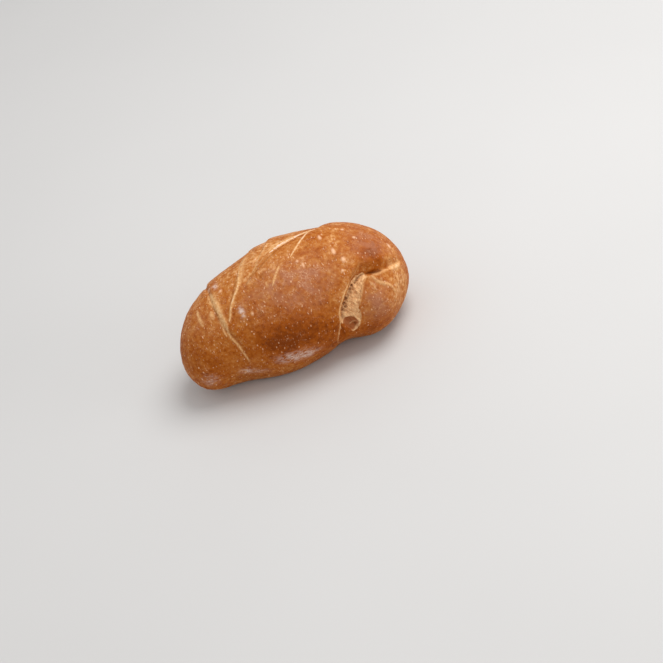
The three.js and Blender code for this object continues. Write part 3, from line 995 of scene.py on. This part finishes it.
def crust_material(colours):
    """Mottled browns under a painted sheen, pale specks and blisters that also stand for painted
    highlights, creases with painted shade, stretch marks, flour and torn crumb.
    """
    material, g, shader, position = new_material("baked_crust")
    field = {
        key: g.add("ShaderNodeAttribute", attribute_name=key).outputs["Fac"]
        for key in (
            "bake_and_shade", "painted_sheen", "flour", "stretch", "fold", "tear", "pocket", "hole", "bubble", "fibre",
            "blister", "paleness", "crown", "strand",
        )
    }
    uneven = g.ramp(field["bake_and_shade"], *EVEN_BAKE, 1.0, 0.5)
    mottle = g.math("SUBTRACT", g.noise(position, MOTTLE[0], 3.0, 0.6), 0.5)
    blotch = g.math("SUBTRACT", g.noise(position, BLOTCH[0], 3.0, 0.55), 0.5)
    # how baked the crust is, with painted shade under the lip, made uneven
    bake_and_shade = g.math("MULTIPLY_ADD", g.times(blotch, uneven), BLOTCH[1], field["bake_and_shade"])
    bake_and_shade = g.math("MULTIPLY_ADD", g.times(mottle, uneven), MOTTLE[1], bake_and_shade)
    # The painted sheen, in patches over the browns.
    patchy = g.ramp(g.noise(position, PAINTED_SHEEN[0], 3.0, 0.65), 0.38, 0.62, 0.4, 1.1)
    painted_sheen = g.times(g.times(field["painted_sheen"], patchy), PAINTED_SHEEN[1])
    colour = blend(g, painted_sheen, tone(g, bake_and_shade, colours), colours.painted_sheen)

    web = fine_web(g, position, *WEB)
    small = specks(g, position, *SPECKS)
    # Pale creases of the fine net, brighter where the painted sheen lies: partly painted glints.
    web_and_glint = g.times(web, g.math("MULTIPLY_ADD", field["painted_sheen"], 0.25, 0.2))
    marks = g.math("MAXIMUM", g.times(small, SPECK_STRENGTH), web_and_glint)
    faint = g.ramp(g.noise(position, 9 * MM, 2.0), 0.35, 0.65, 0.35, 1.0)
    # Pale specks and creases, which also stand for painted highlights.
    colour = blend(g, g.times(g.times(marks, faint), uneven), colour, colours.speck_and_glint)
    # Pale blisters, palest at their tops: pale dough, and partly painted highlights.
    raised = g.math("MAXIMUM", g.times(field["paleness"], field["crown"]), field["blister"])
    colour = blend(g, g.times(raised, BLISTER_STRENGTH), colour, colours.speck_and_glint)
    elsewhere = g.vector("ADD", position, (0.3, 0.3, 0.3))
    freckle = g.ramp(g.noise(elsewhere, FRECKLE[0], 2.0), 0.6, 0.72)
    colour = blend(g, g.times(freckle, FRECKLE[1]), colour, colours.dark)

    broken = g.ramp(g.noise(position, STREAK_BREAKS, 3.0, 0.6), 0.3, 0.6, 0.35, 1.0)
    streak = g.times(field["stretch"], broken)
    colour = blend(g, g.times(streak, 1.0, clamp=True), colour, colours.stretch)
    colour = blend(g, g.ramp(streak, 0.8, 1.3, 0.0, 0.9), colour, colours.flour)
    smeared = g.vector("MULTIPLY", position, DUST_STRETCH)
    dust = g.ramp(g.noise(smeared, DUST[0], 4.0, 0.7), 0.38, 0.62)
    dust = g.times(g.times(field["flour"], dust), DUST[1])
    colour = blend(g, dust, colour, colours.flour)

    crumb = g.ramp(field["tear"], 0.0, 0.6)
    colour = blend(g, crumb, colour, crumb_colour(g, field, streak, colours))
    # Painted shade in the creases and along the torn wall under the lip.
    colour = blend(g, g.times(field["fold"], FOLD_SHADE_STRENGTH), colour, colours.fold)
    g.tree.links.new(colour, shader["Base Color"])

    rough = g.math("MULTIPLY_ADD", mottle, 0.25, 0.5)
    rough = g.math("ADD", rough, g.times(g.math("MAXIMUM", dust, crumb), 0.35), clamp=True)
    g.tree.links.new(rough, shader["Roughness"])
    grain = g.noise(position, GRAIN_SIZE, 4.0, 0.65)
    bumps = g.math("MULTIPLY_ADD", web, 0.2, g.times(small, 0.6))
    bumps = g.math("ADD", bumps, g.math("MULTIPLY_ADD", mottle, 1.6, g.times(grain, 0.9)))
    bump = g.add("ShaderNodeBump", {"Height": bumps, "Strength": BUMP[0], "Distance": BUMP[1]})
    g.tree.links.new(bump.outputs[0], shader["Normal"])
    shader["Specular IOR Level"].default_value = SPECULAR
    return material


def flour_material(colour):
    """Flour in grains, a little paler in some clumps."""
    material, g, shader, position = new_material("flour")
    paler = [min(1.0, c * 1.15) for c in colour]
    clump = g.ramp(g.noise(position, 2 * MM, 2.0), 0.35, 0.65)
    g.tree.links.new(blend(g, clump, colour, paler), shader["Base Color"])
    shader["Roughness"].default_value = 0.9
    shader["Specular IOR Level"].default_value = SPECULAR
    return material


def floor_material(colour):
    """A plain pale floor, hardly uneven."""
    material, g, shader, position = new_material("pale_floor")
    duller = [c * 0.93 for c in colour]
    g.tree.links.new(blend(g, g.noise(position, 250 * MM, 3.0), colour, duller), shader["Base Color"])
    shader["Roughness"].default_value = 0.85
    return material


# ---- add-on ---------------------------------------------------------------------


def colour_property(name, description, default):
    return FloatVectorProperty(
        name=name, description=description, subtype="COLOR", size=3, min=0, max=1, default=default
    )


def length_property(name, description, default, least=0.0):
    return FloatProperty(
        name=name, description=description, default=default, min=least, subtype="DISTANCE", unit="LENGTH"
    )


def angle_property(name, description, degrees):
    return FloatProperty(
        name=name, description=description, default=math.radians(degrees), subtype="ANGLE", unit="ROTATION"
    )


class CrustSettings(bpy.types.PropertyGroup):
    """Colours and fine relief of the crust and the torn crumb."""

    pale: colour_property("Pale", "Crust that was stretched open late in the oven", srgb(212, 154, 98))
    golden: colour_property("Golden", "Lightly baked crust", srgb(184, 115, 52))
    brown: colour_property("Brown", "Well baked crust", srgb(170, 94, 28))
    deep: colour_property("Deep brown", "Crust baked darker", srgb(153, 74, 4))
    dark: colour_property("Dark", "The darkest crust", srgb(124, 55, 0))
    # Colour of the painted sheen, the soft reflection of the light on the browned flank.
    painted_sheen: colour_property("Haze", "Dull bloom on the browned flank", srgb(168, 111, 83))
    # Colour of the pale blisters and specks, which also carry painted highlights.
    speck_and_glint: colour_property("Specks", "Small blisters", srgb(232, 184, 146))
    stretch: colour_property("Stretch marks", "Pale lines where layers slid", srgb(232, 184, 128))
    # Colour of the painted shade in the narrow creases between layers.
    fold: colour_property("Folds", "Narrow creases between layers", srgb(104, 50, 14))
    crumb: colour_property("Crumb", "Torn crumb", srgb(246, 200, 146))
    crumb_shade: colour_property("Crumb shade", "Torn crumb between its fibres", srgb(216, 158, 106))
    # Colour of the painted shade in the gas holes of the torn crumb.
    crumb_hole_shade: colour_property("Crumb holes", "Gas holes in the torn crumb", srgb(132, 74, 34))
    pocket: colour_property("Pocket", "The hollow at the tear's foot", srgb(160, 84, 38))
    flour: colour_property("Flour", "Flour on the crust", srgb(228, 208, 196))
    undulation: length_property("Undulation", "Height of the crust's broad unevenness", 0.6 * MM)
    wrinkle: length_property("Wrinkles", "Height of the crust's fine wrinkles", 0.18 * MM)


class ScatterSettings(bpy.types.PropertyGroup):
    """Sizes of what is scattered over the crust and the crumb."""

    blister_length: length_property("Blister length", "Half length of a blister, round the roll", 0.9 * MM)
    blister_width: length_property("Blister width", "Half width of a blister, along the roll", 0.45 * MM)
    blister_spacing: length_property(
        "Blister spacing", "Least distance between two blisters", 1.65 * MM, least=0.5 * MM
    )
    strand_length: length_property("Strand length", "Length of the strands of torn crumb", 2.8 * MM)
    flour_radius: length_property("Flour grain", "Radius of a grain or clump of flour", 0.14 * MM)
    seed: IntProperty(name="Seed", description="Chooses where everything falls", default=5, min=0)


class StageSettings(bpy.types.PropertyGroup):
    """Floor and camera."""

    floor: colour_property("Floor", "Colour of the plain floor", (0.62, 0.61, 0.6))
    elevation: angle_property("Elevation", "Height of the camera above the horizon", 38)
    azimuth: angle_property("Azimuth", "Turn of the camera round the bun", -3)
    roll: angle_property("Roll", "Tilt of the camera about its own line of sight", 20.1)
    distance: length_property("Distance", "From the bun's middle to the camera", 886.7 * MM, least=0.1)


class BunSettings(bpy.types.PropertyGroup):
    """Everything a user would change."""

    crust: PointerProperty(type=CrustSettings)
    scatter: PointerProperty(type=ScatterSettings)
    stage: PointerProperty(type=StageSettings)


def claim(piece):
    """Lets a piece ride on the bun's body."""
    if not piece.data.polygons:
        raise RuntimeError(piece.name + " has no faces")
    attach(piece, BODY)


class BUN_OT_crust(bpy.types.Operator):
    """Make the crust with its torn crumb, which stands for the solid bun"""

    bl_idname = "bun.crust"
    bl_label = "Crust"

    def execute(self, context):
        settings = context.scene.bun.crust
        values = {
            "Undulation Height": settings.undulation,
            "Wrinkle Height": settings.wrinkle,
            "Fibre Direction": fibre_direction(),
            "Material": crust_material(settings),
        }
        piece = apply_tree(roll_mesh("bun_roll"), skin_tree(), values, CRUST_NAME)
        claim(piece)
        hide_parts(NODE)
        return {"FINISHED"}


def scatter(tree, values, name):
    """Runs a scattering tree over the finished crust and makes the result a piece."""
    claim(apply_tree(bpy.data.objects[CRUST_NAME].data, tree, values, name))


class BUN_OT_blisters(bpy.types.Operator):
    """Raise small pale blisters on the crust"""

    bl_idname = "bun.blisters"
    bl_label = "Blisters"

    def execute(self, context):
        settings = context.scene.bun.scatter
        values = {
            "Seed": settings.seed,
            "Spacing": settings.blister_spacing,
            "Half Length": settings.blister_length,
            "Half Width": settings.blister_width,
            "Material": bpy.data.objects[CRUST_NAME].data.materials[0],
        }
        scatter(blister_tree(), values, "bun_blisters")
        return {"FINISHED"}


class BUN_OT_strands(bpy.types.Operator):
    """Draw strands of dough over the torn crumb"""

    bl_idname = "bun.strands"
    bl_label = "Crumb Strands"

    def execute(self, context):
        settings = context.scene.bun.scatter
        values = {
            "Seed": settings.seed,
            "Length": settings.strand_length,
            "Direction": fibre_direction(),
            "Material": bpy.data.objects[CRUST_NAME].data.materials[0],
        }
        scatter(strand_tree(), values, "crumb_strands")
        return {"FINISHED"}


class BUN_OT_flour(bpy.types.Operator):
    """Dust the crust with grains of flour"""

    bl_idname = "bun.flour"
    bl_label = "Flour"

    def execute(self, context):
        settings = context.scene.bun
        values = {
            "Seed": settings.scatter.seed,
            "Radius": settings.scatter.flour_radius,
            "Material": flour_material(tuple(settings.crust.flour)),
        }
        scatter(flour_tree(), values, "flour_grains")
        return {"FINISHED"}


def make_floor(colour):
    mesh = bpy.data.meshes.new("floor")
    corners = [(x * FLOOR_HALF, y * FLOOR_HALF, 0) for x, y in ((-1, -1), (1, -1), (1, 1), (-1, 1))]
    mesh.from_pydata(corners, [], [(0, 1, 2, 3)])
    mesh.materials.append(floor_material(colour))
    floor = bpy.data.objects.new("floor", mesh)
    bpy.context.scene.collection.objects.link(floor)


def camera_axes(elevation, azimuth, roll):
    """The camera's own right, up and back."""
    flat = math.cos(elevation)
    back = Vector((math.sin(azimuth) * flat, -math.cos(azimuth) * flat, math.sin(elevation)))
    level = Vector((math.cos(azimuth), math.sin(azimuth), 0))
    upright = back.cross(level)
    right = math.cos(roll) * level - math.sin(roll) * upright
    up = math.sin(roll) * level + math.cos(roll) * upright
    return right, up, back


def make_camera(middle, distance, right, up, back):
    data = bpy.data.cameras.new("camera")
    data.lens = LENS
    data.sensor_width = SENSOR
    camera = bpy.data.objects.new("camera", data)
    bpy.context.scene.collection.objects.link(camera)
    place = middle + back * distance + right * CAMERA_ASIDE + up * CAMERA_ABOVE
    camera.matrix_world = Matrix([(right[i], up[i], back[i], place[i]) for i in range(3)] + [(0, 0, 0, 1)])
    bpy.context.scene.camera = camera


def make_lights(middle, right, up, back):
    for name, (aside, above, behind), size, watts in LIGHTS:
        data = bpy.data.lights.new(name, "AREA")
        data.shape = "DISK"
        data.size = size
        data.energy = watts
        lamp = bpy.data.objects.new(name, data)
        lamp.location = middle + right * aside + up * above + back * behind
        lamp.rotation_euler = (middle - lamp.location).to_track_quat("-Z", "Y").to_euler()
        bpy.context.scene.collection.objects.link(lamp)
    world = bpy.data.worlds.new("studio")
    world.use_nodes = True
    background = world.node_tree.nodes["Background"].inputs
    background["Color"].default_value = (1, 1, 1, 1)
    background["Strength"].default_value = WORLD_LIGHT
    bpy.context.scene.world = world


class BUN_OT_stage(bpy.types.Operator):
    """Make the floor, the soft light and the camera"""

    bl_idname = "bun.stage"
    bl_label = "Stage"

    def execute(self, context):
        settings = context.scene.bun.stage
        make_floor(tuple(settings.floor))
        middle = Vector((0, 0, AIM_HEIGHT))
        axes = camera_axes(settings.elevation, settings.azimuth, settings.roll)
        make_camera(middle, settings.distance, *axes)
        make_lights(middle, *axes)
        context.scene.view_settings.view_transform = "Standard"
        return {"FINISHED"}


class BUN_PT_panel(bpy.types.Panel):
    """Lists the bun's pieces and settings"""

    bl_idname = "BUN_PT_panel"
    bl_label = "Hot Dog Bun"
    bl_space_type = "VIEW_3D"
    bl_region_type = "UI"
    bl_category = "Bun"

    def draw(self, context):
        for operator in OPERATORS:
            self.layout.operator(operator.bl_idname)
        settings = context.scene.bun
        for group in (settings.crust, settings.scatter, settings.stage):
            box = self.layout.box()
            for key in group.__annotations__:
                box.prop(group, key)


OPERATORS = (BUN_OT_crust, BUN_OT_blisters, BUN_OT_strands, BUN_OT_flour, BUN_OT_stage)
CLASSES = (CrustSettings, ScatterSettings, StageSettings, BunSettings, *OPERATORS, BUN_PT_panel)


def register():
    for cls in CLASSES:
        bpy.utils.register_class(cls)
    bpy.types.Scene.bun = PointerProperty(type=BunSettings)


def unregister():
    del bpy.types.Scene.bun
    for cls in reversed(CLASSES):
        bpy.utils.unregister_class(cls)


def main():
    register()
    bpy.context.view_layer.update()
    bpy.ops.bun.crust()
    bpy.ops.bun.blisters()
    bpy.ops.bun.strands()
    bpy.ops.bun.flour()
    bpy.ops.bun.stage()


if __name__ == "__main__":
    main()
